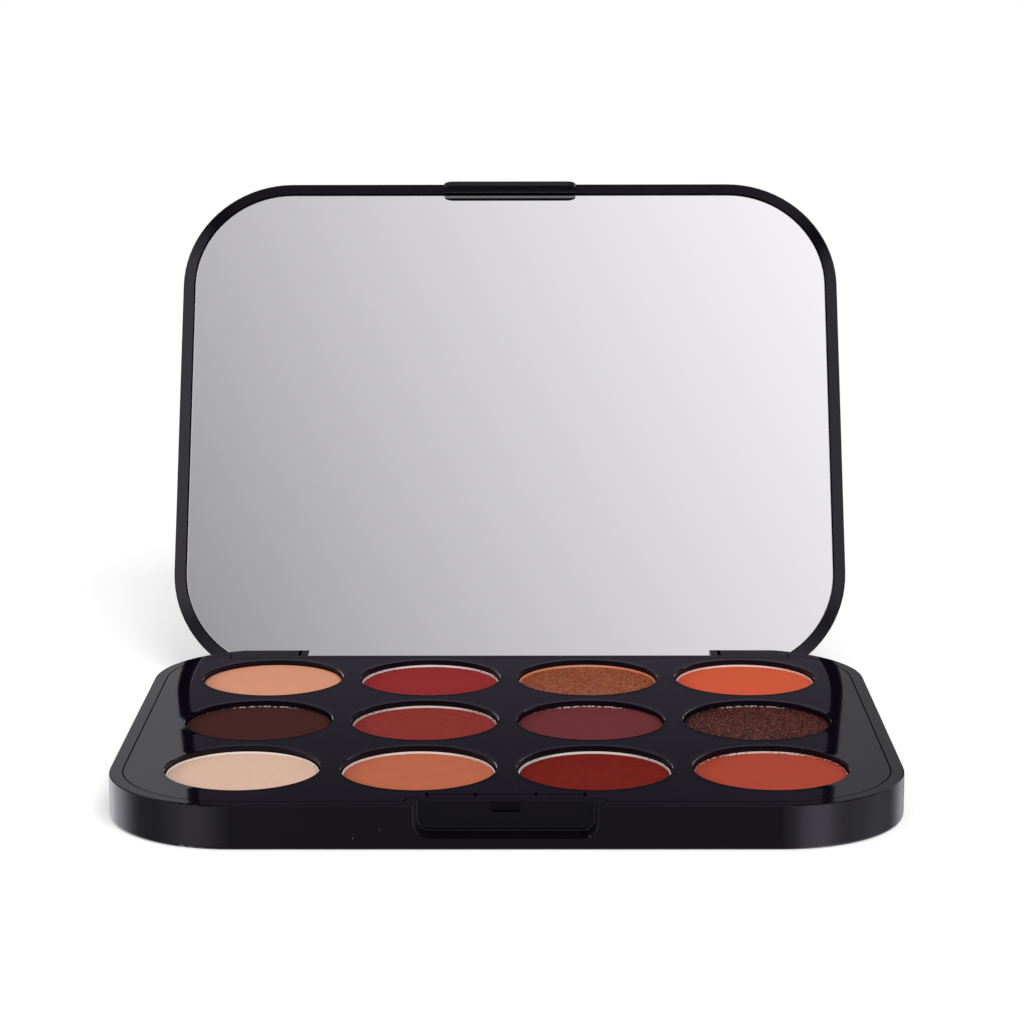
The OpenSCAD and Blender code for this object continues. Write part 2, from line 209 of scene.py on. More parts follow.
class Wire:
    """An output socket of a shader node. Arithmetic on wires adds Math nodes."""

    def __init__(self, board, socket):
        self.board = board
        self.socket = socket

    def math(self, operation, *values, clamp=False):
        """One Math node that works on these values."""
        settings = {"operation": operation, "use_clamp": clamp}
        return self.board.add("ShaderNodeMath", settings, dict(enumerate(values)))

    def __add__(self, other):
        return self.math("ADD", self, other)

    __radd__ = __add__

    def __sub__(self, other):
        return self.math("SUBTRACT", self, other)

    def __rsub__(self, other):
        return self.math("SUBTRACT", other, self)

    def __mul__(self, other):
        return self.math("MULTIPLY", self, other)

    __rmul__ = __mul__

    def __truediv__(self, other):
        return self.math("DIVIDE", self, other)

    def __rtruediv__(self, other):
        return self.math("DIVIDE", other, self)

    def __pow__(self, other):
        return self.math("POWER", self, other)

    def __gt__(self, other):
        return self.math("GREATER_THAN", self, other)

    def __lt__(self, other):
        return self.math("LESS_THAN", self, other)

    def __neg__(self):
        return self.math("MULTIPLY", self, -1.0)

    def __abs__(self):
        return self.math("ABSOLUTE", self)

    def clamped(self):
        return self.math("ADD", self, 0.0, clamp=True)

    def step(self, low, high):
        """0 below low, 1 above high, smooth between them."""
        settings = {"interpolation_type": "SMOOTHSTEP"}
        return self.board.add(
            "ShaderNodeMapRange", settings, {"Value": self, "From Min": low, "From Max": high}
        )

    def band(self, start, full, fade, end):
        """0 below start, 1 from full to fade and 0 again above end."""
        return self.step(start, full) * (1 - self.step(fade, end))


class Board:
    """A shader node tree, filled from empty."""

    def __init__(self, tree):
        tree.nodes.clear()
        self.tree = tree

    def add(self, kind, settings=None, inputs=None, output=0):
        """One node of any type: its settings first, then values or links for its sockets."""
        node = self.tree.nodes.new(kind)
        for name, value in (settings or {}).items():
            setattr(node, name, value)
        for key, value in (inputs or {}).items():
            socket = node.inputs[key]
            if isinstance(value, Wire):
                self.tree.links.new(value.socket, socket)
            elif socket.type == "RGBA" and len(value) == 3:
                socket.default_value = (*value, 1.0)
            else:
                socket.default_value = value
        return Wire(self, node.outputs[output]) if node.outputs else None

    def split(self, vector):
        """The three parts of a vector."""
        first = self.add("ShaderNodeSeparateXYZ", None, {0: vector})
        return [Wire(self, s) for s in first.socket.node.outputs]

    def join(self, x, y, z):
        """A vector from its three parts."""
        return self.add("ShaderNodeCombineXYZ", None, {0: x, 1: y, 2: z})

    def vector(self, operation, *values, output=0):
        """One Vector Math node that works on these values."""
        settings = {"operation": operation}
        return self.add("ShaderNodeVectorMath", settings, dict(enumerate(values)), output)

    def scaled(self, vector, factor):
        """A vector or colour times a number."""
        return self.add("ShaderNodeVectorMath", {"operation": "SCALE"}, {0: vector, 3: factor})

    def place(self):
        """Position in the object's own frame, in metres."""
        return self.add("ShaderNodeTexCoord", None, None, "Object")

    def noise(self, vector, size, detail=2.0, roughness=0.5, output=0):
        """Soft noise whose lumps are about size across."""
        inputs = {"Vector": vector, "Scale": 1 / size, "Detail": detail, "Roughness": roughness}
        return self.add("ShaderNodeTexNoise", None, inputs, output)

    def cells(self, vector, size, output="Distance", feature="F1"):
        """Random cells about size across."""
        inputs = {"Vector": vector, "Scale": 1 / size}
        return self.add("ShaderNodeTexVoronoi", {"feature": feature}, inputs, output)

    def blend(self, factor, first, second):
        """A mix of two colours."""
        settings = {"data_type": "RGBA", "clamp_factor": True}
        return self.add("ShaderNodeMix", settings, {0: factor, 6: first, 7: second}, 2)

    def tone(self, factor, base, spread):
        """base made darker and lighter by spread as factor goes from 0 to 1."""
        dark = tuple(c * (1 - spread) for c in base)
        light = tuple(min(c * (1 + spread), 1.0) for c in base)
        return self.blend(factor, dark, light)

    def bump(self, height, normal=None, strength=1.0):
        """A bump from a height in metres."""
        inputs = {"Strength": strength, "Distance": 1.0, "Height": height}
        if normal is not None:
            inputs["Normal"] = normal
        return self.add("ShaderNodeBump", None, inputs)


def material(name):
    """A new material and the board of its nodes."""
    made = bpy.data.materials.new(name)
    made.use_nodes = True
    return made, Board(made.node_tree)


def principled(board, **sockets):
    """A Principled BSDF with these sockets."""
    named = {key.replace("_", " "): value for key, value in sockets.items()}
    return board.add("ShaderNodeBsdfPrincipled", None, named)


def surface(board, **sockets):
    """A Principled BSDF with these sockets, as the material's whole surface."""
    board.add("ShaderNodeOutputMaterial", None, {"Surface": principled(board, **sockets)})


def dress(node, finish):
    """Puts a finish on a node of the frame."""
    for slot in NODES[node].material_slots:
        slot.material = finish


# ---- Finishes ----


def well_lips(board, place, settings):
    """Height of the faint rise of the tray's face towards the mouth of each well."""
    x, y, _ = board.split(place)
    outside = []
    for pan, *_ in POWDERS:
        low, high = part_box("pan_" + pan)
        centre, radius = (low + high) / 2, (high.x - low.x) / 2
        offset = board.join(x - centre.x, y - centre.y, 0.0)
        outside.append(board.vector("LENGTH", offset, output="Value") - (radius + WELL_GAP))
    nearest = outside[0]
    for distance in outside[1:]:
        nearest = nearest.math("MINIMUM", nearest, distance)
    rise = (1 - nearest / settings.lip_reach).clamped()
    return rise * rise * settings.lip


def polished_plastic(name, base, sheen, settings, wells=False):
    """Gloss black moulding: faint ripple, hairlines, dust, painted shade in crevices, dull well
    walls.
    """
    made, board = material(name)
    place = board.place()
    x, y, z = board.split(place)
    ripple = board.noise(place, 4.5 * MM, 1.0)
    peel = board.noise(place, 0.7 * MM, 2.0)
    along = board.join(x * 0.09 + y * 0.04, y, z)
    across = board.join(x, y * 0.07 - x * 0.03, z)
    hair = board.noise(along, 0.16 * MM, 1.0).step(0.70, 0.78)
    hair = hair + board.noise(across, 0.2 * MM, 1.0).step(0.72, 0.8)
    hair = (hair * board.noise(place, 9 * MM, 1.0).step(0.52, 0.7)).clamped()
    haze = board.noise(place, 14 * MM, 3.0, 0.6)
    specks = board.cells(place, 1.9 * MM)
    chance = board.cells(place, 1.9 * MM, "Color")
    pick, size, shade = board.split(chance)
    dust = (specks < (size * 0.035 + 0.012)) * (pick > 0.86)
    # Painted shade: the plastic's colour darkens where ambient occlusion finds a crevice, recess or
    # gap
    openness = board.add(
        "ShaderNodeAmbientOcclusion", {"samples": 6, "only_local": True}, {"Distance": 4 * MM}, "AO"
    )
    painted_shade_tint = board.blend(openness**2, tuple(c * 0.2 for c in base), base)
    tint = board.blend(dust * shade, painted_shade_tint, tuple(settings.dust))
    height = ripple * settings.ripple + peel * (settings.ripple * 0.035) - hair * HAIR_DEPTH
    if wells:
        height = height + well_lips(board, place, settings)
        height = height + board.noise(place, 9 * MM, 1.0) * settings.warp
    shader = principled(
        board,
        Base_Color=tint,
        Roughness=(settings.gloss + haze * 0.045 + hair * 0.12 + dust * 0.6).clamped(),
        Normal=board.bump(height),
        IOR=TRAY_INDEX if wells else CASE_INDEX,
        Specular_Tint=(*sheen, 1.0),
    )
    if wells:
        _, _, rise = board.split(board.add("ShaderNodeNewGeometry", None, None, "Normal"))
        upright = 1 - abs(rise).step(0.2, 0.5)  # 1 on the walls of the wells
        dull = principled(
            board,
            Base_Color=tint,
            Roughness=0.3 + haze * 0.1,
            Normal=board.bump(height),
            Specular_IOR_Level=0.2,
        )
        shader = board.add("ShaderNodeMixShader", None, {0: upright, 1: shader, 2: dull})
    board.add("ShaderNodeOutputMaterial", None, {"Surface": shader})
    return made


def tinned_sheet(name, settings, powder, cover, film, centre):
    """Drawn and tinned sheet with rings from the press, filmed and smeared with powder."""
    made, board = material(name)
    place = board.place()
    offset = board.vector("SUBTRACT", place, tuple(centre))
    x, y, z = board.split(offset)
    turn = x.math("ARCTAN2", y, x)
    reach = board.vector("LENGTH", board.join(x, y, 0.0), output="Value")
    rings = board.noise(board.join(turn * (0.4 * MM), reach, z), 0.08 * MM, 3.0)
    patch = board.noise(board.join(turn * (10 * MM), 0.0, z * 2.5), 0.5 * MM, 3.0, 0.62)
    back = (y / reach).step(0.75, 0.98)
    smear = (patch + (cover - 0.5) + (1 - back) * 0.16).step(0.47, 0.56)
    bright = board.tone(board.noise(place, 1.2 * MM, 2.0), tuple(settings.metal), 0.06)
    bright = board.blend(film + (1 - back) * 0.25, bright, powder)
    surface(
        board,
        Base_Color=board.blend(smear, bright, powder),
        Metallic=(1 - smear) * BARE_METAL,
        Roughness=settings.roughness + rings * 0.1 + smear * 0.4,
        Normal=board.bump(rings * settings.draw_lines + patch * smear * (0.03 * MM)),
    )
    return made


def painted_edge_shade(board, place, tint, centre, radius):
    """Painted shade: a tint that darkens softly towards the pan's wall, most at the left and the
    front.
    """
    x, y, _ = board.split(board.vector("SUBTRACT", place, tuple(centre)))
    reach = board.vector("LENGTH", board.join(x, y, 0.0), output="Value")
    far = ((reach - x * 0.12 - y * 0.08) / radius).step(0.8, 1.12)
    return board.blend(far * 0.3, tint, board.scaled(tint, 0.55))


def matte_powder(board, place, base, settings):
    """Fine talc-like press: soft grain and slow changes of tone."""
    fine = board.noise(place, 0.11 * MM, 3.0, 0.7)
    slow = board.noise(place, 3.2 * MM, 3.0, 0.55)
    pores = board.cells(place, 0.34 * MM).step(0.03, 0.16)
    tint = board.tone(fine, base, 0.13)
    tint = board.blend(slow.step(0.35, 0.7) * 0.35, tint, tuple(c * 1.12 for c in base))
    tint = board.blend((1 - pores) * 0.3, tint, tuple(c * 0.55 for c in base))
    height = (fine - (1 - pores) * 0.4) * settings.grain
    return {
        "Base_Color": tint,
        "Roughness": 0.84 + fine * 0.12,
        "Normal": board.bump(height, strength=0.6),
        "Specular_IOR_Level": 0.06,
    }


def flakes(board, place, size, tilt):
    """Flat pigment flakes: a normal that leans from flake to flake, and three random numbers."""
    random = board.cells(place, size, "Color")
    lean = board.scaled(board.vector("SUBTRACT", random, (0.5, 0.5, 0.5)), tilt)
    normal = board.add("ShaderNodeNewGeometry", None, None, "Normal")
    return board.vector("NORMALIZE", board.vector("ADD", normal, lean)), board.split(random)


def shimmer_powder(board, place, base, settings, glint, size, amount, tilt, contrast=1.0):
    """Pearl or glitter press: metallic flakes set in the powder."""
    normal, (pick, shine, shade) = flakes(board, place, size, tilt)
    fine = board.noise(place, 0.14 * MM, 3.0, 0.65)
    slow = board.noise(place, 2.6 * MM, 3.0, 0.6)
    flake = (pick > (1 - amount)) * (0.35 + shine * 0.65) * contrast
    body = board.tone(fine, base, 0.24 * contrast)
    light = tuple(min(c * (1 + 0.25 * contrast), 1) for c in base)
    body = board.blend(slow.step(0.4, 0.7) * 0.15, body, light)
    tint = board.blend(flake, body, board.tone(shade, glint, 0.25))
    height = (fine + slow * 0.4) * (settings.grain * contrast)
    return {
        "Base_Color": tint,
        "Metallic": flake * 0.7,
        "Roughness": 0.62 - flake * 0.3,
        "Normal": board.bump(height, normal, 0.5),
        "Specular_IOR_Level": 0.1,
    }


def leathery_powder(board, place, base, settings, size, depth, contrast):
    """Press with the small lumps that a cloth leaves, darker in its folds."""
    warp = board.vector("SUBTRACT", board.noise(place, 1.1 * MM, 2.0, 0.5, 1), (0.5, 0.5, 0.5))
    bent = board.vector("ADD", place, board.scaled(warp, size * 1.2))
    lumps = board.cells(bent, size, "Distance", "SMOOTH_F1")
    patches = board.noise(place, 3.6 * MM, 3.0, 0.6).step(0.36, 0.56)
    fine = board.noise(place, 0.12 * MM, 3.0, 0.7)
    fold = (lumps.step(0.3, 0.6) * (0.3 + patches * 0.7)).clamped()
    tint = board.tone(fine, base, 0.34)
    tint = board.blend(fold * contrast, tint, tuple(c * 0.6 for c in base))
    tint = board.blend(patches * 0.3, tint, tuple(min(c * 1.25, 1) for c in base))
    return {
        "Base_Color": tint,
        "Roughness": 0.66 + fine * 0.15,
        "Normal": board.bump(fine * settings.grain * 0.6 - fold * depth, strength=0.9),
        "Specular_IOR_Level": 0.06,
    }


# Pan, colour, fill above the frame's powder in mm, how much powder clings to the pan's wall, and
# how strongly a film of it tints the bare metal
POWDERS = [
    ("back_1", "peach", 0.4, 0.75, 0.55),
    ("back_2", "deep_red", 0.15, 0.25, 0.02),
    ("back_3", "copper", 0.15, 0.38, 0.88),
    ("back_4", "burnt_orange", 0.18, 0.25, 0.1),
    ("middle_1", "plum_brown", 0.3, 0.54, 0.2),
    ("middle_2", "garnet", 0.16, 0.28, 0.18),
    ("middle_3", "maroon", 0.28, 0.52, 0.2),
    ("middle_4", "dark_brown", 0.29, 0.53, 0.3),
    ("front_1", "champagne", 0.18, 0.2, 0.1),
    ("front_2", "terracotta", 0.16, 0.2, 0.06),
    ("front_3", "oxblood", 0.14, 0.24, 0.04),
    ("front_4", "brick", 0.2, 0.42, 0.2),
]


def powder_sockets(board, shade, base, settings):
    """The shader sockets of a powder, by how that shade is pressed."""
    place = board.place()
    if shade == "copper":
        glint = tuple(settings.copper_pearl)
        return shimmer_powder(board, place, base, settings, glint, 0.17 * MM, 0.5, 1.2)
    if shade == "champagne":
        glint = rgb(244, 216, 196)
        return shimmer_powder(board, place, base, settings, glint, 0.13 * MM, 0.4, 0.25, 0.3)
    if shade == "dark_brown":
        glint = rgb(208, 122, 100)
        return shimmer_powder(board, place, base, settings, glint, 0.13 * MM, 0.2, 1.0)
    if shade == "garnet":
        return leathery_powder(board, place, base, settings, 0.46 * MM, 0.034 * MM, 0.8)
    if shade == "oxblood":
        return leathery_powder(board, place, base, settings, 1.0 * MM, 0.034 * MM, 0.62)
    return matte_powder(board, place, base, settings)


# ---- Meshes ----


def mesh_object(name, points, faces, finish, body):
    """A smooth mesh with one finish. Where a body is given, it rides on it."""
    mesh = bpy.data.meshes.new(name)
    mesh.from_pydata(points, [], faces)
    mesh.polygons.foreach_set("use_smooth", [True] * len(mesh.polygons))
    mesh.validate()
    mesh.materials.append(finish)
    made = bpy.data.objects.new(name, mesh)
    bpy.context.scene.collection.objects.link(made)
    if body:
        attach(made, body)
    return made


RINGS = 58  # rings of the level face
SPOKES = 176
EDGE_STEPS = 6  # rings that round the edge, and again the foot
EDGE_RADIUS = 0.2 * MM
FOOT_RADIUS = 0.5 * MM
COARSE_WEAR, FINE_WEAR = 9, 31  # how quickly the wear changes round the edge
SOUND_EDGE = 0.12  # wear below this leaves the edge whole
LONG_WAVES, SHORT_WAVES = 170, 420  # how quickly the face changes, per metre
SHELTER = 1.2 * MM  # the waves die down this near to the pan's wall
SEED_STEP = 90  # turns a pan's place into its own part of the noise


def pressed_cake(node, settings, fill):
    """A pressed powder: a gently uneven top face, a crumbled edge and a rounded foot."""
    low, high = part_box(node)
    centre = (low + high) / 2
    radius = (high.x - low.x) / 2
    top = high.z + fill
    seed = Vector((centre.x * SEED_STEP, centre.y * SEED_STEP, 0.0))
    points = [(centre.x, centre.y, top)]
    rims = []
    for ring in range(1, RINGS + EDGE_STEPS + 1):
        row = []
        for spoke in range(SPOKES):
            angle = 2 * math.pi * spoke / SPOKES
            unit = Vector((math.cos(angle), math.sin(angle), 0.0))
            wear = noise.noise(unit * COARSE_WEAR + seed)
            wear += 0.6 * noise.noise(unit * FINE_WEAR + seed)
            soft = EDGE_RADIUS + settings.crumble * max(0.0, wear - SOUND_EDGE)
            if ring <= RINGS:
                reach = (radius - soft) * (ring / RINGS)
                drop = 0.0
            else:
                turn = (ring - RINGS) / EDGE_STEPS * math.pi / 2
                reach = radius - soft + soft * math.sin(turn)
                drop = soft * (1 - math.cos(turn))
            flat = unit * reach
            wave = noise.noise(flat * LONG_WAVES + seed)
            wave += 0.5 * noise.noise(flat * SHORT_WAVES + seed)
            fade = min(1.0, (radius - reach) / SHELTER)
            z = top - drop + settings.wave * wave * (0.25 + 0.75 * fade)
            row.append(len(points))
            points.append((centre.x + flat.x, centre.y + flat.y, z))
        rims.append(row)
    for step in range(EDGE_STEPS + 1):
        turn = step / EDGE_STEPS * math.pi / 2
        reach = radius - FOOT_RADIUS * (1 - math.cos(turn))
        z = low.z + FOOT_RADIUS * (1 - math.sin(turn))
        rims.append([])
        for spoke in range(SPOKES):
            angle = 2 * math.pi * spoke / SPOKES
            x = centre.x + reach * math.cos(angle)
            y = centre.y + reach * math.sin(angle)
            rims[-1].append(len(points))
            points.append((x, y, z))
    faces = [(0, rims[0][i], rims[0][(i + 1) % SPOKES]) for i in range(SPOKES)]
    for inner, outer in zip(rims, rims[1:]):
        for i in range(SPOKES):
            j = (i + 1) % SPOKES
            faces.append((inner[i], outer[i], outer[j], inner[j]))
    faces.append(tuple(reversed(rims[-1])))
    return points, faces


# ---- Operators ----


class PALETTE_OT_case(Operator):
    """Gives the base and the lid their gloss black plastic"""

    bl_idname = "palette.case"
    bl_label = "Case"

    def execute(self, context):
        settings = context.scene.palette_case
        finish = polished_plastic("case_black", tuple(settings.case), settings.sheen, settings)
        dress("base_shell", finish)
        dress("lid_shell", finish)
        return {"FINISHED"}


class PALETTE_OT_tray(Operator):
    """Gives the pan tray its gloss black plastic"""

    bl_idname = "palette.tray"
    bl_label = "Pan tray"

    def execute(self, context):
        settings = context.scene.palette_case
        base = tuple(settings.tray)
        finish = polished_plastic("tray_black", base, settings.tray_sheen, settings, wells=True)
        dress("pan_tray", finish)
        return {"FINISHED"}


class PALETTE_OT_pans(Operator):
    """Gives the twelve pans their tinned sheet, smeared with their own powder"""

    bl_idname = "palette.pans"
    bl_label = "Pans"

    def execute(self, context):
        settings = context.scene.palette_pans
        shades = context.scene.palette_powders
        for pan, shade, _fill, cover, film in POWDERS:
            node = "pan_" + pan
            low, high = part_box(node)
            tint = tuple(shades.copper_pearl if shade == "copper" else getattr(shades, shade))
            dress(node, tinned_sheet(node, settings, tint, cover, film, (low + high) / 2))
        return {"FINISHED"}


class PALETTE_OT_powders(Operator):
    """Presses the twelve powders into their pans"""

    bl_idname = "palette.powders"
    bl_label = "Powders"

    def execute(self, context):
        settings = context.scene.palette_powders
        for pan, shade, fill, _cover, _film in POWDERS:
            node = "powder_" + pan
            low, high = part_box(node)
            finish, board = material("powder_" + shade)
            sockets = powder_sockets(board, shade, tuple(getattr(settings, shade)), settings)
            # The powder's colour darkens towards its pan's wall: painted shade
            sockets["Base_Color"] = painted_edge_shade(
                board, board.place(), sockets["Base_Color"], (low + high) / 2, (high.x - low.x) / 2
            )
            surface(board, **sockets)
            points, faces = pressed_cake(node, settings, fill * MM)
            cake = mesh_object("pressed_" + pan, points, faces, finish, "base")
            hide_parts(node)
        return {"FINISHED"}


class PALETTE_OT_glue(Operator):
    """Gives the pads under the pans and the tape behind the mirror their adhesive foam"""

    bl_idname = "palette.glue"
    bl_label = "Glue pads and tape"

    def execute(self, context):
        settings = context.scene.palette_case
        for name, tint, nodes in (
            ("glue_pad", settings.glue, ["glue_pad_" + pan for pan, *_ in POWDERS]),
            ("mirror_tape", settings.tape, ["mirror_tape"]),
        ):
            finish, board = material(name)
            place = board.place()
            bubbles = board.cells(place, 0.35 * MM).step(0.05, 0.4)
            cloud = board.noise(place, 2.5 * MM, 3.0)
            surface(
                board,
                Base_Color=board.tone(cloud * 0.6 + bubbles * 0.4, tuple(tint), 0.08),
                Roughness=0.55 + bubbles * 0.25,
                Normal=board.bump(bubbles * (0.03 * MM)),
            )
            for node in nodes:
                dress(node, finish)
        return {"FINISHED"}


class PALETTE_OT_pins(Operator):
    """Gives the hinge pins their drawn steel"""

    bl_idname = "palette.pins"
    bl_label = "Hinge pins"

    def execute(self, context):
        settings = context.scene.palette_case
        finish, board = material("pin_steel")
        x, y, z = board.split(board.place())
        drawn = board.noise(board.join(x * 0.02, y, z), 0.05 * MM, 2.0)
        stain = board.noise(board.place(), 1.5 * MM, 3.0)
        surface(
            board,
            Base_Color=board.tone(stain, tuple(settings.steel), 0.1),
            Metallic=1.0,
            Roughness=0.24 + drawn * 0.16 + stain * 0.08,
            Normal=board.bump(drawn * (0.002 * MM)),
        )
        for side in ("left", "right"):
            dress("hinge_pin_" + side, finish)
        return {"FINISHED"}


class PALETTE_OT_mirror(Operator):
    """Silvers the mirror and gives the glass its ground edge"""

    bl_idname = "palette.mirror"
    bl_label = "Mirror"

    def execute(self, context):
        settings = context.scene.palette_mirror
        finish, board = material("mirror_glass")
        place = board.place()
        facing = board.vector(
            "DOT_PRODUCT",
            board.add("ShaderNodeNewGeometry", None, None, "Normal"),
            tuple(mirror_normal()),
            output="Value",
        )
        face = facing.step(0.93, 0.97)
        frost = board.noise(place, 0.1 * MM, 2.0)
        smudge = board.noise(place, 16 * MM, 4.0, 0.6).step(0.55, 0.85)
        surface(
            board,
            Base_Color=board.blend(face, tuple(settings.edge), tuple(settings.silver)),
            Metallic=0.6 + face * 0.4,
            Roughness=(1 - face) * (0.3 + frost * 0.2) + settings.roughness + smudge * 0.006,
            Normal=board.bump(frost * (1 - face) * (0.004 * MM)),
        )
        dress("mirror_glass", finish)
        return {"FINISHED"}


def mirror_normal():
    """The direction in which the open mirror faces, from the middle of its largest polygons."""
    mesh = NODES["mirror_glass"].data
    areas = np.zeros(len(mesh.polygons))
    normals = np.zeros(len(mesh.polygons) * 3)
    mesh.polygons.foreach_get("area", areas)
    mesh.polygons.foreach_get("normal", normals)
    normals = normals.reshape(-1, 3)
    front = normals[:, 1] < 0
    mean = (normals[front] * (areas[front] ** 2)[:, None]).sum(0)
    return Vector(mean).normalized()


KEY_LAMP = {"size": 0.5, "place": (0.28, -0.62, 0.8)}
FILL_LAMP = {"size": 0.4, "place": (-0.75, -0.3, 0.35)}


class PALETTE_OT_studio(Operator):
    """Builds the floor, the light and the camera"""

    bl_idname = "palette.studio"
    bl_label = "Studio"

    def execute(self, context):
        settings = context.scene.palette_studio
        floor(settings)
        backdrop(settings)
        lamp("key", settings.key, **KEY_LAMP)
        lamp("fill", settings.fill, **FILL_LAMP)
        camera(settings)
        context.scene.view_settings.view_transform = "Standard"
        return {"FINISHED"}


FLOOR_SIDES = 64
FLOOR_RINGS = [0.05, 0.12, 0.3, 0.8, 2.0]  # radii inside the outermost one
FLOOR_DROP = 0.02 * MM  # how far the floor lies under the case
FLOOR_LIFT = 0.28  # light that only the camera sees, so that the paper reads as white
FLOOR_FADE = (0.14, 0.4)  # how far out the floor begins to turn white, and is white


def floor(settings):
    """A pale floor that keeps the soft shadow and fades into the white backdrop far off."""
    finish, board = material("studio_floor")
    place = board.place()
    paper = board.noise(place, 1.6 * MM, 3.0)
    tint = board.tone(paper, tuple(settings.floor), 0.01)
    shader = board.add(
        "ShaderNodeBsdfDiffuse",
        None,
        {"Color": tint, "Normal": board.bump(paper * (0.01 * MM))},
    )
    seen = board.add("ShaderNodeLightPath", None, None, "Is Camera Ray")
    glow = {"Color": (1, 1, 1), "Strength": seen * FLOOR_LIFT}
    lift = board.add("ShaderNodeEmission", None, glow)
    lit = board.add("ShaderNodeAddShader", None, {0: shader, 1: lift})
    white = board.add("ShaderNodeEmission", None, {"Color": (1, 1, 1), "Strength": 1.0})
    far = board.vector("LENGTH", place, output="Value").step(*FLOOR_FADE)
    both = board.add("ShaderNodeMixShader", None, {0: far * seen, 1: lit, 2: white})
    board.add("ShaderNodeOutputMaterial", None, {"Surface": both})
    radii = [*FLOOR_RINGS, settings.floor_radius]
    points = [(0.0, 0.0, 0.0)]
    for radius in radii:
        for side in range(FLOOR_SIDES):
            angle = 2 * math.pi * side / FLOOR_SIDES
            points.append((radius * math.cos(angle), radius * math.sin(angle), 0.0))
    sides = [(side, (side + 1) % FLOOR_SIDES) for side in range(FLOOR_SIDES)]
    faces = [(0, 1 + i, 1 + j) for i, j in sides]
    for ring in range(len(radii) - 1):
        inner = 1 + FLOOR_SIDES * ring
        outer = inner + FLOOR_SIDES
        faces += [(inner + i, outer + i, outer + j, inner + j) for i, j in sides]
    made = mesh_object("floor", points, faces, finish, None)
    made.location.z = -FLOOR_DROP
    made.visible_glossy = False
    made.visible_transmission = False


def backdrop(settings):
    """White to the camera, even light for what is matte and a studio for what is glossy."""
    world = bpy.data.worlds.new("studio")
    bpy.context.scene.world = world
    world.use_nodes = True
    board = Board(world.node_tree)
    direction = board.add("ShaderNodeTexCoord", None, None, "Generated")
    camera_ray = board.add("ShaderNodeLightPath", None, None, "Is Camera Ray")
    rays = camera_ray.socket.node.outputs
    gloss = Wire(board, rays["Is Glossy Ray"]) + Wire(board, rays["Is Transmission Ray"])
    x, y, z = board.split(direction)
    overhead = z.step(0.76, 0.92)
    hue = board.join(1.01 + overhead * 0.03, 1.0, 1.07 + overhead * 0.15)
    studio = board.scaled(hue, studio_level(x, y, z))
    shown = board.blend(gloss.clamped(), (settings.sky,) * 3, studio)
    shown = board.blend(camera_ray, shown, (1.0, 1.0, 1.0))
    light = board.add("ShaderNodeBackground", None, {"Color": shown, "Strength": 1.0})
    board.add("ShaderNodeOutputWorld", None, {"Surface": light})


# Where each thing in the studio starts, is full, begins to fade and ends, as a part of a unit
# vector: height is its z and side its x
WINDOW_HEIGHT = (0.1, 0.19, 0.4, 0.6)
SOFTBOX_HEIGHT = (0.35, 0.6, 0.74, 0.96)
RIGHT_LAMP_SIDE = (0.295, 0.325, 0.4, 0.6)
RIGHT_LAMP_HEIGHT = (0.5, 0.6, 0.76, 0.84)
LEFT_LAMP_SIDE = (0.26, 0.34, 0.6, 0.68)
LEFT_LAMP_HEIGHT = (0.5, 0.58, 0.8, 0.86)
WALL_HEIGHT = (0.14, 0.19, 0.6, 0.9)


def studio_level(x, y, z):
    """How bright the studio is in a direction: lamps in front, a pale panel at each side."""
    under = 1 - z.step(-0.14, 0.0)
    low = 1 - z.step(0.45, 0.72)
    front = 1 - y.step(-0.3, 0.1)
    at_right = x.step(0.39 - under * 0.31, 0.42 + under * 0.13) * low
    at_left = (-x).step(0.44 - under * 0.4, 0.48 + under * 0.08) * low
    level = front_side(x, z, under) * front + rear_side(x, y, z) * (1 - front)
    level = level * (1 - at_left - at_right).clamped()
    return level + at_right * right_panel(x, y, under) + at_left * left_panel(y, under)


def front_side(x, z, under):
    """Grey table, window, softbox and two lamps, as gloss sees them in front."""
    table = under * 0.21 + 0.025
    window = z.band(*WINDOW_HEIGHT) * 0.9
    softbox = (x * 2.16 + z * 1.7 - 0.52).clamped() * z.band(*SOFTBOX_HEIGHT)
    softbox = softbox * (1 - abs(x).step(0.18, 0.3))
    lamp_right = x.band(*RIGHT_LAMP_SIDE) * z.band(*RIGHT_LAMP_HEIGHT)
    lamp_left = (-x).band(*LEFT_LAMP_SIDE) * z.band(*LEFT_LAMP_HEIGHT)
    return table + window + softbox + lamp_left * 1.35 + lamp_right


def rear_side(x, y, z):
    """A dim wall and the paler table before it, as gloss sees them behind."""
    wall = (0.26 - x * 0.56).clamped() * z.band(*WALL_HEIGHT)
    table = (1 - z.step(-0.6, -0.32)) * (0.2 + y * 0.6 + x * 0.4).clamped()
    return wall + table + 0.03


def right_panel(x, y, under):
    """Level of the panel at the right, brighter where the table mirrors it."""
    fade = 1 - x.step(0.76 - under * 0.16, 0.84 + under * 0.02) * (0.5 + under * 0.08)
    return fade * (1 + under * 0.67) * (1 - under * y.step(0.05, 0.5) * 0.5)


def left_panel(y, under):
    """Level of the panel at the left, dim in its middle where the table mirrors it."""
    mirrored = 0.37 - y.step(-0.78, -0.2) * 0.6 + y.step(0.05, 0.55) * 1.3
    return 0.55 - y.step(0.1, 0.4) * 0.25 + under * mirrored


def lamp(name, power, size, place):
    """A square soft lamp that looks at the palette and stays out of its reflections."""
    data = bpy.data.lights.new(name, "AREA")
    data.shape = "SQUARE"
    data.size = size
    data.energy = power
    made = bpy.data.objects.new(name, data)
    made.location = place
    made.rotation_euler = (-Vector(place)).to_track_quat("-Z", "Y").to_euler()
    made.visible_glossy = False
    made.visible_camera = False
    bpy.context.scene.collection.objects.link(made)


CAMERA_PLACE = (0.003083, -0.426856, 0.123582)
CAMERA_YAW = math.radians(-0.319)
CAMERA_ROLL = math.radians(-0.109)
FILM_WIDTH = 36  # in mm
FAR_CLIP = 50


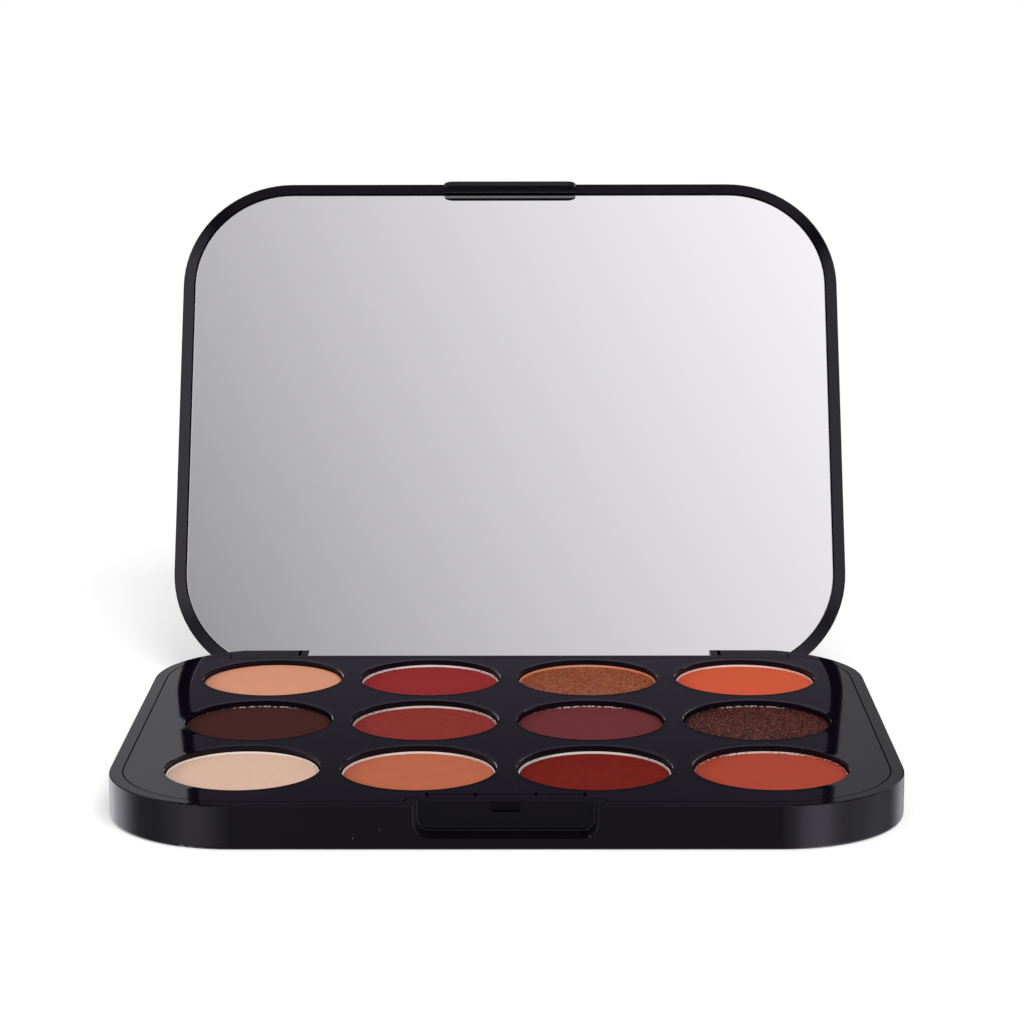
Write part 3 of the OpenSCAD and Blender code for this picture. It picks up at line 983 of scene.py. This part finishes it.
def camera(settings):
    """A long lens in front of the palette, a little above it."""
    pitch, yaw, roll = settings.pitch, CAMERA_YAW, CAMERA_ROLL
    forward = Vector(
        (math.sin(yaw) * math.cos(pitch), math.cos(yaw) * math.cos(pitch), -math.sin(pitch))
    )
    level = Vector((math.cos(yaw), -math.sin(yaw), 0.0))
    upright = level.cross(forward)
    right = level * math.cos(roll) + upright * math.sin(roll)
    up = upright * math.cos(roll) - level * math.sin(roll)
    data = bpy.data.cameras.new("camera")
    data.lens = settings.lens
    data.sensor_width = FILM_WIDTH
    data.clip_end = FAR_CLIP
    made = bpy.data.objects.new("camera", data)
    turned = Matrix((right, up, -forward)).transposed().to_4x4()
    made.matrix_world = Matrix.Translation(CAMERA_PLACE) @ turned
    bpy.context.scene.collection.objects.link(made)
    bpy.context.scene.camera = made


# ---- Panel and registration ----

OPERATORS = (
    PALETTE_OT_case,
    PALETTE_OT_tray,
    PALETTE_OT_pans,
    PALETTE_OT_powders,
    PALETTE_OT_glue,
    PALETTE_OT_pins,
    PALETTE_OT_mirror,
    PALETTE_OT_studio,
)

GROUPS = {
    "palette_case": CaseFinish,
    "palette_mirror": MirrorFinish,
    "palette_pans": PanFinish,
    "palette_powders": PowderFinish,
    "palette_studio": StudioSettings,
}


class PALETTE_PT_panel(Panel):
    """Lists the steps that finish the palette"""

    bl_idname = "PALETTE_PT_panel"
    bl_label = "Eyeshadow Palette"
    bl_space_type = "VIEW_3D"
    bl_region_type = "UI"
    bl_category = "Palette"

    def draw(self, context):
        for operator in OPERATORS:
            self.layout.operator(operator.bl_idname)
        for name in GROUPS:
            group = getattr(context.scene, name)
            box = self.layout.box()
            for key in group.bl_rna.properties.keys():
                if key not in ("rna_type", "name"):
                    box.prop(group, key)


def register():
    for item in (*GROUPS.values(), *OPERATORS, PALETTE_PT_panel):
        bpy.utils.register_class(item)
    for name, group in GROUPS.items():
        setattr(bpy.types.Scene, name, PointerProperty(type=group))


def unregister():
    for name in GROUPS:
        delattr(bpy.types.Scene, name)
    for item in reversed((*GROUPS.values(), *OPERATORS, PALETTE_PT_panel)):
        bpy.utils.unregister_class(item)


def main():
    """Runs every step in order."""
    register()
    for operator in OPERATORS:
        family, name = operator.bl_idname.split(".")
        getattr(getattr(bpy.ops, family), name)()


if __name__ == "__main__":
    main()
